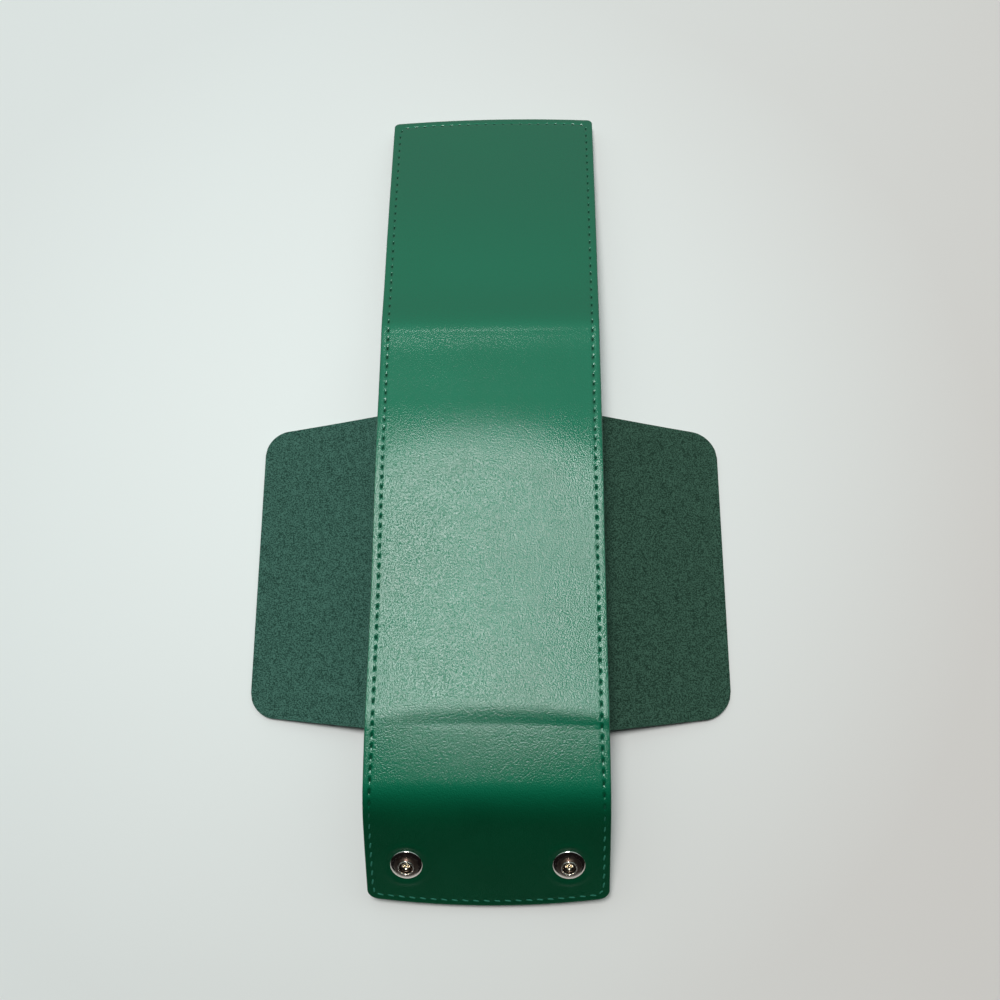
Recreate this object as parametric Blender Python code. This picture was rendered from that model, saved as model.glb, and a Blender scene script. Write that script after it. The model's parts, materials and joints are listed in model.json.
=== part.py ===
# Watch travel pouch, lying open with its leather side up.
#
# One strip of leather, board and lining stands like a low bridge. Four creases
# part it into lid, top spine, back, bottom spine and front flap. Two suede side
# sheets hang from the back panel and splay out over the table, and two press
# studs on the flap fit two sockets under the lid.
#
# Lengths are metres and angles degrees. +X is right, +Y points to the lid's end
# and +Z is up. The origin is the bottom centre of the whole pouch.

from math import asin, atan2, cos, degrees, hypot, radians, sin, tan

import bmesh
import bpy
from mathutils import Vector

# The strip, measured on its lining side from hinge to hinge
STRIP_WIDTH = 0.0750
BACK_LENGTH = 0.1067
BOTTOM_SPINE_LENGTH = 0.0197
FLAP_LENGTH = 0.0376
END_BOW = 0.0022
END_CORNER_RADIUS = 0.0035
CREASE_GAP = 0.0003

# The layers of the strip, from the lining up to the leather
LINING_THICKNESS = 0.0007
BOARD_THICKNESS = 0.0006
LEATHER_THICKNESS = 0.0011
SEAT_GAP = 0.0003
BOARD_MARGIN = 0.0052
BOARD_CREASE_MARGIN = 0.0028
LEATHER_ROUND = 0.0004

# How each panel slopes where it lies open, in degrees
LID_SLOPE = 8.5
TOP_SPINE_SLOPE = 0.42
BACK_SLOPE = 2.84
BOTTOM_SPINE_SLOPE = 3.3

# The side sheets
SUEDE_THICKNESS = 0.0010
GUSSET_INSET = 0.0020
GUSSET_END_GAP = 0.0006
WING_SHORTER_THAN_TOP = 0.0008
ROOM_UNDER_FLAP = 0.0016
WING_WIDTH = 0.0437
WING_TOP_TAPER = 0.0040
WING_BOTTOM_TAPER = 0.0036
WING_CORNER_RADIUS = 0.0070

# The seam
SEAM_INSET = 0.0027
THREAD_DIAMETER = 0.0006
THREAD_STANDS_PROUD = 0.00015

# The press studs
STUD_FROM_SIDE = 0.0126
STUD_FROM_END = 0.01425
STUD_FLANGE_RADIUS = 0.00495
STUD_FLANGE_THICKNESS = 0.0005
STUD_SHEET = 0.0003
KNOB_RADIUS = 0.0024
KNOB_NECK_RADIUS = 0.00215
KNOB_HEIGHT = 0.0016
POST_FLANGE_RADIUS = 0.0045
POST_FLANGE_THICKNESS = 0.0005
POST_RADIUS = 0.0009
POST_BORE_RADIUS = 0.0005
POST_FLARE_RADIUS = 0.0015
POST_FLARE_THICKNESS = 0.0003

# The sockets
SOCKET_RADIUS = 0.0050
SOCKET_HEIGHT = 0.0020
SOCKET_CHAMFER = 0.0003
SOCKET_PLATE = 0.0004
SOCKET_LIP = 0.00045
SOCKET_RUNNING_GAP = 0.00035
SOCKET_WALL = 0.00115
SPRING_WIRE = 0.0004
SPRING_OPENING = 50
CAP_RADIUS = 0.0045
CAP_THICKNESS = 0.0005
CAP_POST_RADIUS = 0.0012
CAP_BORE_RADIUS = 0.0007
SNAP_PLAY = 0.0003
LID_PAST_SOCKET = 0.0113

# How finely round things are drawn
OVERRUN = 0.0010
ARC_STEPS = 5
BOW_STEPS = 11
ROUND_STEPS = 28
ROUNDING_STEPS = 2
SPRING_POINTS = 22
SHARP_ANGLE = 30

# Heights in a panel's own frame: zero is the lining's open face
BOARD_BOTTOM = LINING_THICKNESS + SEAT_GAP
POCKET_TOP = BOARD_BOTTOM + BOARD_THICKNESS + SEAT_GAP
LEATHER_BOTTOM = LINING_THICKNESS + SEAT_GAP
STRIP_THICKNESS = POCKET_TOP + LEATHER_THICKNESS

# Lengths that make the closed pouch fit together
SNAP_STACK = SEAT_GAP + STUD_FLANGE_THICKNESS + SNAP_PLAY + SOCKET_HEIGHT + SEAT_GAP
TOP_SPINE_LENGTH = BOTTOM_SPINE_LENGTH + STRIP_THICKNESS + SNAP_STACK
STUD_REACH = FLAP_LENGTH - STUD_FROM_END
SOCKET_REACH = BACK_LENGTH - STUD_REACH
LID_LENGTH = SOCKET_REACH + LID_PAST_SOCKET
GUSSET_DEPTH = BOTTOM_SPINE_LENGTH - 2 * (SUEDE_THICKNESS + SEAT_GAP) - ROOM_UNDER_FLAP

HALF_WIDTH = STRIP_WIDTH / 2
STUD_REACH_ACROSS = HALF_WIDTH - STUD_FROM_SIDE
SIDES = {"left": -1, "right": 1}

LEATHER = ("green_grained_leather", (0.030, 0.160, 0.088), 0.42, 0.0)
SUEDE = ("dark_green_suede", (0.034, 0.088, 0.064), 0.95, 0.0)
LINING = ("dark_green_lining", (0.030, 0.078, 0.056), 0.95, 0.0)
BOARD = ("grey_board", (0.330, 0.320, 0.290), 0.85, 0.0)
THREAD = ("green_thread", (0.020, 0.110, 0.062), 0.70, 0.0)
NICKEL = ("polished_nickel", (0.720, 0.700, 0.660), 0.18, 1.0)
BRASS = ("plated_brass", (0.640, 0.540, 0.330), 0.30, 1.0)
STEEL = ("spring_steel", (0.500, 0.500, 0.500), 0.35, 1.0)


def material(finish):
    """The material of that name, made the first time it is asked for."""
    name, colour, roughness, metallic = finish
    found = bpy.data.materials.get(name)
    if found:
        return found
    made = bpy.data.materials.new(name)
    made.use_nodes = True
    shader = made.node_tree.nodes["Principled BSDF"]
    shader.inputs["Base Color"].default_value = (*colour, 1.0)
    shader.inputs["Roughness"].default_value = roughness
    shader.inputs["Metallic"].default_value = metallic
    made.diffuse_color = (*colour, 1.0)
    return made


def place(thing, parent, at=(0, 0, 0)):
    bpy.context.collection.objects.link(thing)
    thing.parent = parent
    thing.location = at
    return thing


def frame(name, parent=None, at=(0, 0, 0), turn=(0, 0, 0)):
    """An empty on a joint's axis, turned by three angles in degrees."""
    empty = place(bpy.data.objects.new(name, None), parent, at)
    empty.rotation_euler = [radians(angle) for angle in turn]
    return empty


def solid(shape, parent, finish, at=(0, 0, 0)):
    """A sub-part from a mesh or curve, which gives it its name."""
    shape.materials.append(material(finish))
    return place(bpy.data.objects.new(shape.name, shape), parent, at)


def cutter(mesh, parent, at=(0, 0, 0)):
    thing = place(bpy.data.objects.new(mesh.name, mesh), parent, at)
    thing.hide_render = True
    thing.display_type = "WIRE"
    return thing


def cut(thing, tool):
    step = thing.modifiers.new(tool.name, "BOOLEAN")
    step.operation = "DIFFERENCE"
    step.solver = "EXACT"
    step.object = tool


def arc(centre, radius, start, end, steps):
    """Points round a centre, from one angle to another in radians."""
    angles = [start + (end - start) * i / steps for i in range(steps + 1)]
    return [(centre[0] + radius * cos(a), centre[1] + radius * sin(a)) for a in angles]


def fillet(before, corner, after, radius):
    """The arc that rounds a corner between two straight edges."""
    corner = Vector(corner)
    toward = (Vector(before) - corner).normalized()
    away = (Vector(after) - corner).normalized()
    half = toward.angle(away) / 2
    centre = corner + (toward + away).normalized() * radius / sin(half)
    first = corner + toward * radius / tan(half) - centre
    last = corner + away * radius / tan(half) - centre
    start = atan2(first.y, first.x)
    sweep = first.angle_signed(last)
    return arc(centre, radius, start, start - sweep, ARC_STEPS)


def rim_path(length, inset, near):
    """Up one side of an end panel, round its bowed end and down the other side."""
    half = HALF_WIDTH - inset
    bow_radius = (HALF_WIDTH**2 + END_BOW**2) / (2 * END_BOW)
    centre = (0, length - bow_radius)
    radius = bow_radius - inset
    reach = asin(half / radius)
    quarter = radians(90)
    bow = arc(centre, radius, quarter - reach, quarter + reach, BOW_STEPS)
    corner = max(END_CORNER_RADIUS - inset, SEAT_GAP)
    return (
        [(half, near)]
        + fillet((half, near), bow[0], bow[1], corner)
        + bow[1:-1]
        + fillet(bow[-2], bow[-1], (-half, near), corner)
        + [(-half, near)]
    )


def straight_outline(length, inset, near):
    """The outline of a panel between two creases."""
    half = HALF_WIDTH - inset
    return [(half, near), (half, length - near), (-half, length - near), (-half, near)]


def facing(direction, outline):
    """The outline as it is, or for direction -1 on the other side of the hinge."""
    return outline if direction > 0 else [(x, -y) for x, y in reversed(outline)]


def loft(name, first, last, stays_sharp=None):
    """A closed solid between two rings of points. Where stays_sharp is given, its
    upper rim is rounded, but for the edges that stays_sharp picks."""
    build = bmesh.new()
    lower = [build.verts.new(point) for point in first]
    upper = [build.verts.new(point) for point in last]
    build.faces.new(lower[::-1])
    build.faces.new(upper)
    for i in range(len(lower)):
        j = (i + 1) % len(lower)
        build.faces.new((lower[i], lower[j], upper[j], upper[i]))
    bmesh.ops.recalc_face_normals(build, faces=build.faces)
    if stays_sharp:
        rim = [
            edge
            for edge in build.edges
            if all(vert in upper for vert in edge.verts) and not stays_sharp(edge)
        ]
        bmesh.ops.bevel(
            build, geom=rim, offset=LEATHER_ROUND, segments=ROUNDING_STEPS, profile=0.5, affect="EDGES"
        )
    mesh = bpy.data.meshes.new(name)
    build.to_mesh(mesh)
    build.free()
    return mesh


def prism(name, outline, bottom, top, stays_sharp=None):
    first = [(x, y, bottom) for x, y in outline]
    last = [(x, y, top) for x, y in outline]
    return loft(name, first, last, stays_sharp)


def is_crease(edge):
    """True for an edge that spans the strip, as a crease does."""
    ends = [vert.co for vert in edge.verts]
    return abs(ends[0].x - ends[1].x) > STRIP_WIDTH / 2


def turned(name, section):
    """A solid of revolution about Z. The section is (radius, height) points: it
    closes on itself, or starts and ends on the axis."""
    build = bmesh.new()
    rings = []
    for radius, height in section:
        if radius == 0:
            rings.append([build.verts.new((0, 0, height))] * ROUND_STEPS)
            continue
        angles = [radians(360) * i / ROUND_STEPS for i in range(ROUND_STEPS)]
        rings.append([build.verts.new((radius * cos(a), radius * sin(a), height)) for a in angles])
    for k in range(len(rings)):
        here, there = rings[k], rings[(k + 1) % len(rings)]
        for i in range(ROUND_STEPS):
            j = (i + 1) % ROUND_STEPS
            corners = dict.fromkeys((here[i], here[j], there[j], there[i]))
            if len(corners) > 2:
                build.faces.new(corners)
    bmesh.ops.recalc_face_normals(build, faces=build.faces)
    mesh = bpy.data.meshes.new(name)
    build.to_mesh(mesh)
    build.free()
    mesh.shade_smooth()
    mesh.set_sharp_from_angle(angle=radians(SHARP_ANGLE))
    return mesh


def drill(name, radius, bottom, top):
    return turned(name, [(0, bottom), (radius, bottom), (radius, top), (0, top)])


def ribbon(path, width):
    """The outline of a band of this width along an open path."""
    sides = []
    for i, point in enumerate(path):
        before = Vector(path[max(i - 1, 0)])
        after = Vector(path[min(i + 1, len(path) - 1)])
        along = (after - before).normalized()
        across = Vector((-along.y, along.x)) * width / 2
        sides.append((Vector(point) + across, Vector(point) - across))
    return [tuple(right) for _, right in sides] + [tuple(left) for left, _ in reversed(sides)]


def wire(name, points, diameter):
    """A round wire or thread through points, with capped ends."""
    curve = bpy.data.curves.new(name, "CURVE")
    curve.dimensions = "3D"
    curve.bevel_depth = diameter / 2
    curve.bevel_resolution = 1
    curve.use_fill_caps = True
    spline = curve.splines.new("POLY")
    spline.points.add(len(points) - 1)
    for target, point in zip(spline.points, points):
        target.co = (*point, 1)
    return curve


def thread(name, parent, path):
    height = STRIP_THICKNESS + THREAD_STANDS_PROUD - THREAD_DIAMETER / 2
    solid(wire(name, [(x, y, height) for x, y in path], THREAD_DIAMETER), parent, THREAD)


def groove(leather, path):
    """The shallow channel that a seam's thread lies in."""
    width = THREAD_DIAMETER + 2 * SEAT_GAP
    floor = STRIP_THICKNESS + THREAD_STANDS_PROUD - THREAD_DIAMETER - SEAT_GAP
    channel = prism(leather.name + "_groove", ribbon(path, width), floor, STRIP_THICKNESS + OVERRUN)
    cut(leather, cutter(channel, leather.parent))


def panel(name, parent, length, direction, shape):
    """Lining, board and leather of one panel. The leather's rim comes down round
    the board to the lining, so the board lies in a pocket."""
    outline = facing(direction, shape(length, 0, CREASE_GAP / 2))
    board_outline = facing(direction, shape(length, BOARD_MARGIN, BOARD_CREASE_MARGIN))
    pocket_outline = facing(
        direction, shape(length, BOARD_MARGIN - SEAT_GAP, BOARD_CREASE_MARGIN - SEAT_GAP)
    )
    board_top = BOARD_BOTTOM + BOARD_THICKNESS
    lining = solid(prism(name + "_lining", outline, 0, LINING_THICKNESS), parent, LINING)
    board = solid(prism(name + "_board", board_outline, BOARD_BOTTOM, board_top), parent, BOARD)
    whole = prism(name + "_leather", outline, LEATHER_BOTTOM, STRIP_THICKNESS, is_crease)
    leather = solid(whole, parent, LEATHER)
    pocket = prism(name + "_pocket", pocket_outline, LEATHER_BOTTOM - OVERRUN, POCKET_TOP)
    cut(leather, cutter(pocket, parent))
    return lining, board, leather


def middle_panel(name, parent, length, direction):
    """A panel between two creases, with a seam down each side."""
    leather = panel(name, parent, length, direction, straight_outline)[-1]
    for side, sign in SIDES.items():
        x = sign * (HALF_WIDTH - SEAM_INSET)
        ends = [CREASE_GAP, length - CREASE_GAP]
        thread(side + "_" + name + "_seam", parent, [(x, direction * y) for y in ends])
        groove(leather, [(x, -OVERRUN * direction), (x, (length + OVERRUN) * direction)])


def end_panel(name, parent, length, direction):
    """The lid or the flap: one crease, a bowed end and a seam round three sides."""
    layers = panel(name, parent, length, direction, rim_path)
    thread(name + "_seam", parent, facing(direction, rim_path(length, SEAM_INSET, CREASE_GAP)))
    groove(layers[-1], facing(direction, rim_path(length, SEAM_INSET, -OVERRUN)))
    return layers


def stud_section():
    """Flange with a rolled rim, a dished ring and a hollow knob with a neck."""
    base = SEAT_GAP
    flange = base + STUD_FLANGE_THICKNESS
    knob_top = flange + KNOB_HEIGHT
    shelf = base + STUD_SHEET
    hole = POST_RADIUS + SEAT_GAP
    hollow = KNOB_NECK_RADIUS - STUD_SHEET
    return [
        (hole, base),
        (STUD_FLANGE_RADIUS - STUD_SHEET / 2, base),
        (STUD_FLANGE_RADIUS, base + STUD_SHEET / 2),
        (STUD_FLANGE_RADIUS, base + STUD_SHEET),
        (STUD_FLANGE_RADIUS - STUD_SHEET, flange),
        (STUD_FLANGE_RADIUS - 2 * STUD_SHEET, flange),
        (STUD_FLANGE_RADIUS - 4 * STUD_SHEET, base + STUD_SHEET),
        (KNOB_NECK_RADIUS + STUD_SHEET, base + STUD_SHEET),
        (KNOB_NECK_RADIUS, flange),
        (KNOB_NECK_RADIUS, flange + KNOB_HEIGHT / 3),
        (KNOB_RADIUS, flange + KNOB_HEIGHT * 2 / 3),
        (KNOB_RADIUS, knob_top - STUD_SHEET),
        (KNOB_NECK_RADIUS, knob_top),
        (hollow, knob_top - STUD_SHEET / 2),
        (hollow, shelf),
        (hole, shelf),
    ]


def post_section():
    """Tubular rivet: its flange lies under the lining, its flare inside the stud."""
    flange_bottom = -SEAT_GAP - POST_FLANGE_THICKNESS
    flare = STRIP_THICKNESS + SEAT_GAP + STUD_SHEET + SEAT_GAP
    flare_top = flare + POST_FLARE_THICKNESS
    rim = POST_FLANGE_THICKNESS / 2
    return [
        (0, flange_bottom),
        (POST_FLANGE_RADIUS - rim, flange_bottom),
        (POST_FLANGE_RADIUS, flange_bottom + rim),
        (POST_FLANGE_RADIUS - rim, -SEAT_GAP),
        (POST_RADIUS, -SEAT_GAP),
        (POST_RADIUS, flare),
        (POST_FLARE_RADIUS, flare + POST_FLARE_THICKNESS / 3),
        (POST_FLARE_RADIUS, flare_top),
        (POST_RADIUS, flare_top + POST_FLARE_THICKNESS / 3),
        (POST_BORE_RADIUS, flare_top),
        (POST_BORE_RADIUS, -SEAT_GAP),
        (0, -SEAT_GAP),
    ]


def socket_bore():
    return KNOB_RADIUS + SOCKET_RUNNING_GAP


def socket_section():
    """Ring with a plate above, a lip below and a groove between for the spring."""
    top = -SEAT_GAP
    bottom = top - SOCKET_HEIGHT
    hole = CAP_POST_RADIUS + SEAT_GAP
    groove_radius = SOCKET_RADIUS - SOCKET_WALL
    lip_top = bottom + SOCKET_LIP
    return [
        (hole, top),
        (SOCKET_RADIUS - SOCKET_CHAMFER, top),
        (SOCKET_RADIUS, top - SOCKET_CHAMFER),
        (SOCKET_RADIUS, bottom + SOCKET_CHAMFER),
        (SOCKET_RADIUS - SOCKET_CHAMFER, bottom),
        (socket_bore() + SOCKET_CHAMFER, bottom),
        (socket_bore(), bottom + SOCKET_CHAMFER),
        (socket_bore(), lip_top),
        (groove_radius, lip_top),
        (groove_radius, top - SOCKET_PLATE),
        (hole, top - SOCKET_PLATE),
    ]


def cap_section():
    """Disc over the lining, with a hollow post down into the socket's plate."""
    bottom = LINING_THICKNESS + SEAT_GAP
    top = bottom + CAP_THICKNESS
    post_end = -SEAT_GAP - SOCKET_PLATE * 3 / 4
    return [
        (0, top),
        (CAP_RADIUS - CAP_THICKNESS / 2, top),
        (CAP_RADIUS, top - CAP_THICKNESS / 2),
        (CAP_RADIUS, bottom),
        (CAP_POST_RADIUS, bottom),
        (CAP_POST_RADIUS, post_end),
        (CAP_BORE_RADIUS, post_end),
        (CAP_BORE_RADIUS, bottom),
        (0, bottom),
    ]


def add_studs(parent, layers):
    """Two studs on the flap's leather, each held by a post through the strip."""
    for side, sign in SIDES.items():
        at = (sign * STUD_REACH_ACROSS, -STUD_REACH, 0)
        on_leather = (at[0], at[1], STRIP_THICKNESS)
        solid(turned(side + "_stud", stud_section()), parent, NICKEL, on_leather)
        solid(turned(side + "_stud_post", post_section()), parent, BRASS, at)
        hole = drill(side + "_post_hole", POST_RADIUS + SEAT_GAP, -OVERRUN, STRIP_THICKNESS + OVERRUN)
        tool = cutter(hole, parent, at)
        for layer in layers:
            cut(layer, tool)


def add_sockets(parent, lining, board):
    """Two sockets under the lid, each held by a cap concealed over the lining."""
    bottom = -SEAT_GAP - SOCKET_HEIGHT
    ring_radius = KNOB_RADIUS + SEAT_GAP + SPRING_WIRE / 2
    ring_height = bottom + SOCKET_LIP + SEAT_GAP + SPRING_WIRE / 2
    start = radians(90 + SPRING_OPENING / 2)
    end = start + radians(360 - SPRING_OPENING)
    for side, sign in SIDES.items():
        at = (sign * STUD_REACH_ACROSS, SOCKET_REACH, 0)
        solid(turned(side + "_socket", socket_section()), parent, NICKEL, at)
        solid(turned(side + "_socket_cap", cap_section()), parent, BRASS, at)
        ring = [(x, y, ring_height) for x, y in arc((0, 0), ring_radius, start, end, SPRING_POINTS)]
        solid(wire(side + "_socket_spring", ring, SPRING_WIRE), parent, STEEL, at)
        hole = drill(side + "_cap_post_hole", CAP_POST_RADIUS + SEAT_GAP, -OVERRUN, BOARD_BOTTOM)
        cut(lining, cutter(hole, parent, at))
        room = drill(side + "_cap_room", CAP_RADIUS + SEAT_GAP, LINING_THICKNESS, POCKET_TOP)
        cut(board, cutter(room, parent, at))


def lid_hinge_height():
    """The lid lies on its sockets' rims or on its end, whichever is lower."""
    slope = radians(LID_SLOPE)
    below = SEAT_GAP + SOCKET_HEIGHT
    feet = [
        (LID_LENGTH, 0),
        (SOCKET_REACH + SOCKET_RADIUS - SOCKET_CHAMFER, below),
        (SOCKET_REACH + SOCKET_RADIUS, below - SOCKET_CHAMFER),
    ]
    return max(y * sin(slope) + depth * cos(slope) for y, depth in feet)


def strip_frames():
    """The five panels' frames, chained from the lid's foot over to the flap's."""
    slopes = [radians(a) for a in (TOP_SPINE_SLOPE, BACK_SLOPE, BOTTOM_SPINE_SLOPE)]
    outer_fold = (TOP_SPINE_LENGTH * cos(slopes[0]), lid_hinge_height())
    lower_crease = outer_fold[1] + TOP_SPINE_LENGTH * sin(slopes[0]) + BACK_LENGTH * sin(slopes[1])
    flap_hinge = lower_crease - BOTTOM_SPINE_LENGTH * sin(slopes[2])
    flap_slope = degrees(asin(flap_hinge / FLAP_LENGTH))
    back = frame("back_panel", None, (0, 0, lower_crease), (-BACK_SLOPE, 0, 0))
    top_turn = (BACK_SLOPE - TOP_SPINE_SLOPE, 0, 0)
    top_spine = frame("top_inner_fold", back, (0, BACK_LENGTH, 0), top_turn)
    lid = frame("top_outer_fold", top_spine, (0, TOP_SPINE_LENGTH, 0), (TOP_SPINE_SLOPE - LID_SLOPE, 0, 0))
    bottom_spine = frame("bottom_inner_fold", back, (0, 0, 0), (BACK_SLOPE + BOTTOM_SPINE_SLOPE, 0, 0))
    flap_turn = (flap_slope - BOTTOM_SPINE_SLOPE, 0, 0)
    flap = frame("bottom_outer_fold", bottom_spine, (0, -BOTTOM_SPINE_LENGTH, 0), flap_turn)
    return back, top_spine, lid, bottom_spine, flap


def side_sheet(side, sign, back, hinge_height):
    """Gusset and wing. The gusset hangs square from the back panel and its lower
    edge is level, and the wing leans down from it until its outer edge lies on
    the table."""
    face = HALF_WIDTH - GUSSET_INSET
    near = GUSSET_END_GAP
    far = BACK_LENGTH - GUSSET_END_GAP - WING_SHORTER_THAN_TOP
    rise = (far - near) * tan(radians(BACK_SLOPE))
    section = [(near, 0), (near, -GUSSET_DEPTH), (far, rise - GUSSET_DEPTH), (far, 0)]
    fold = frame(side + "_gusset_fold", back, (sign * face, 0, -SEAT_GAP))
    inner = [(-sign * SUEDE_THICKNESS, y, z) for y, z in section]
    outer = [(0, y, z) for y, z in section]
    solid(loft(side + "_gusset", inner, outer), fold, SUEDE)

    slope = radians(BACK_SLOPE)
    drop = SEAT_GAP + GUSSET_DEPTH
    axis_height = hinge_height - drop * cos(slope) - near * sin(slope)
    lean = asin(axis_height / hypot(WING_WIDTH, SEAT_GAP)) + atan2(SEAT_GAP, WING_WIDTH)
    length = (far - near) / cos(slope)
    wing_fold = frame(side + "_wing_fold", fold, (0, near, -GUSSET_DEPTH), (BACK_SLOPE, 0, 0))
    lying = frame(side + "_wing_lean", wing_fold, (0, 0, 0), (0, sign * degrees(lean), 0))
    corners = [
        (SEAT_GAP, 0),
        (WING_WIDTH, WING_BOTTOM_TAPER),
        (WING_WIDTH, length - WING_TOP_TAPER),
        (SEAT_GAP, length),
    ]
    outline = (
        [corners[0]]
        + fillet(corners[0], corners[1], corners[2], WING_CORNER_RADIUS)
        + fillet(corners[1], corners[2], corners[3], WING_CORNER_RADIUS)
        + [corners[3]]
    )
    outline = [(sign * x, y) for x, y in outline]
    solid(prism(side + "_wing", outline, SEAT_GAP, SEAT_GAP + SUEDE_THICKNESS), lying, SUEDE)


def stand_on_origin(root):
    """Move the whole pouch so that the origin is its bottom centre."""
    bpy.context.view_layer.update()
    seen = bpy.context.evaluated_depsgraph_get()
    points = []
    for thing in bpy.context.scene.objects:
        if thing.type == "EMPTY" or thing.hide_render:
            continue
        shown = thing.evaluated_get(seen)
        points += [shown.matrix_world @ vert.co for vert in shown.to_mesh().vertices]
        shown.to_mesh_clear()
    low = Vector([min(point[i] for point in points) for i in range(3)])
    high = Vector([max(point[i] for point in points) for i in range(3)])
    root.location -= Vector(((low.x + high.x) / 2, (low.y + high.y) / 2, low.z))
    bpy.context.view_layer.update()


def main():
    for thing in list(bpy.data.objects):
        bpy.data.objects.remove(thing)
    back, top_spine, lid, bottom_spine, flap = strip_frames()
    middle_panel("back", back, BACK_LENGTH, 1)
    middle_panel("top_spine", top_spine, TOP_SPINE_LENGTH, 1)
    middle_panel("bottom_spine", bottom_spine, BOTTOM_SPINE_LENGTH, -1)
    lid_lining, lid_board, _ = end_panel("lid", lid, LID_LENGTH, 1)
    add_sockets(lid, lid_lining, lid_board)
    add_studs(flap, end_panel("front_flap", flap, FLAP_LENGTH, -1))
    for side, sign in SIDES.items():
        side_sheet(side, sign, back, back.location.z)
    stand_on_origin(back)


main()
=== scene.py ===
import json
import math

import bmesh
import bpy
import numpy as np
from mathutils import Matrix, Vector


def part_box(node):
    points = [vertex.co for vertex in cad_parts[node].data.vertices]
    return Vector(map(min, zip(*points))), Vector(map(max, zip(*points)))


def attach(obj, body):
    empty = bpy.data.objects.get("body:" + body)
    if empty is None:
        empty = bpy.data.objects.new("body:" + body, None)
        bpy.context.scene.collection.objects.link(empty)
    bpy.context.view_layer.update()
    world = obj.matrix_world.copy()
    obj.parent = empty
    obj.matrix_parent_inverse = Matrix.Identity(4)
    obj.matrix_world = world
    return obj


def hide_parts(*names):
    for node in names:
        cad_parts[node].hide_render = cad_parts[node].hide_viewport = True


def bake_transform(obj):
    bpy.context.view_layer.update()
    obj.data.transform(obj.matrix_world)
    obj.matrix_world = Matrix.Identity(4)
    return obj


# Watch travel pouch lying open, leather side up. Lengths are metres unless a comment
# says otherwise.
# s runs along the strip from the lid's end to the flap's end, x runs across it,
# and depth is the distance above the lining's open face.

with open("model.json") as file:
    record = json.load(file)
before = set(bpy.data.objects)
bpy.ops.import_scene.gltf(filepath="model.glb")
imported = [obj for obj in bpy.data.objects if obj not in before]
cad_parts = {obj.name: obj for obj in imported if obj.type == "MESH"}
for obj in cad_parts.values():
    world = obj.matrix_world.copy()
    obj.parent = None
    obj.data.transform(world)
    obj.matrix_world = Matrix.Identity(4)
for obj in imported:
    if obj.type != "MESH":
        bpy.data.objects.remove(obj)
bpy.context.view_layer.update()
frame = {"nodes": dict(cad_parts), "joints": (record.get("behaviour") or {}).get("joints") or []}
print("frame loaded,", len(frame["nodes"]), "CAD nodes")


camera = {
    "place": (0.0146, -0.0980, 0.3347),
    "turnDeg": (14.88, 1.89, -0.03),
    "lensMm": 36.0,
    "sensorMm": 36.0,
}


def addCamera():
    data = bpy.data.cameras.new("photoCamera")
    data.lens = camera["lensMm"]
    data.sensor_width = camera["sensorMm"]
    data.clip_start = 0.01
    thing = bpy.data.objects.new("photoCamera", data)
    thing.location = camera["place"]
    thing.rotation_euler = [math.radians(angle) for angle in camera["turnDeg"]]
    bpy.context.scene.collection.objects.link(thing)
    bpy.context.scene.camera = thing


addCamera()


strip = {
    "width": 0.0750,
    "thickness": 0.0030,
    "lidLength": 0.09465,
    "flapLength": 0.0376,
    "lidCorner": 0.0018,
    "flapCorner": 0.0034,
    "lidBow": 0.0015,  # how far the middle of an end stands out past its corners
    "flapBow": 0.0030,
    "bowFades": 0.0150,
    "lidSlopeDeg": 8.5,
    "drift": 0.0012,  # how far the lid's end lies to the right
    # how far each bend reaches before and past its crease
    "bends": {
        "A": (0.0070, 0.0070),
        "B": (0.0100, 0.0100),
        "C": (0.0016, 0.0014),
        "D": (0.0056, 0.0110),
    },
    "lidCrown": 0.0009,
    "lidEndDroop": 0.0003,
    "lidDroopFrom": 0.0130,
    "backSag": 0.0012,
    "flapCrown": 0.0002,
    "lineRunsPast": 0.004,
    "linePoints": 2921,
}

relief = {
    "ridgeHeight": 0.00064,  # over the crease between lid and top spine
    "ridgeReach": (0.0100, 0.0064),  # towards the lid and towards the spine
    "ridgeBack": 0.0038,
    "dipTurn": 0.200,  # radians, along the crease between back and bottom spine
    "dipReach": 0.0090,
    "dipNarrows": 0.0022,
    "dipSoft": 0.0060,
    "dipRounds": 0.0010,
    "dipAfter": 0.0620,
    "dipBow": 0.0006,
    "dipLean": 0.22,
    "swellHeight": 0.00260,
    "swellPower": 1.15,
    # where the swelling rounds over and for how long, as shares of the way to the crest
    "swellTurns": (0.88, 0.54),
    "crestAfter": 0.0120,
    "crestEase": 0.10,
    "crestArch": 0.0110,
}

hinge = {
    key: np.array(next(j["pos_m"] for j in frame["joints"] if j["name"] == name)[1:])
    for key, name in {
        "A": "top_outer_fold",
        "B": "top_inner_fold",
        "C": "bottom_inner_fold",
        "D": "bottom_outer_fold",
    }.items()
}
half = strip["width"] / 2


def smooth(t):
    t = np.clip(t, 0, 1)
    return t * t * (3 - 2 * t)


def hump(value, centre, reach):
    # a bell: 1 at the centre, 0.37 one reach away
    return np.exp(-(((value - centre) / reach) ** 2))


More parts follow.
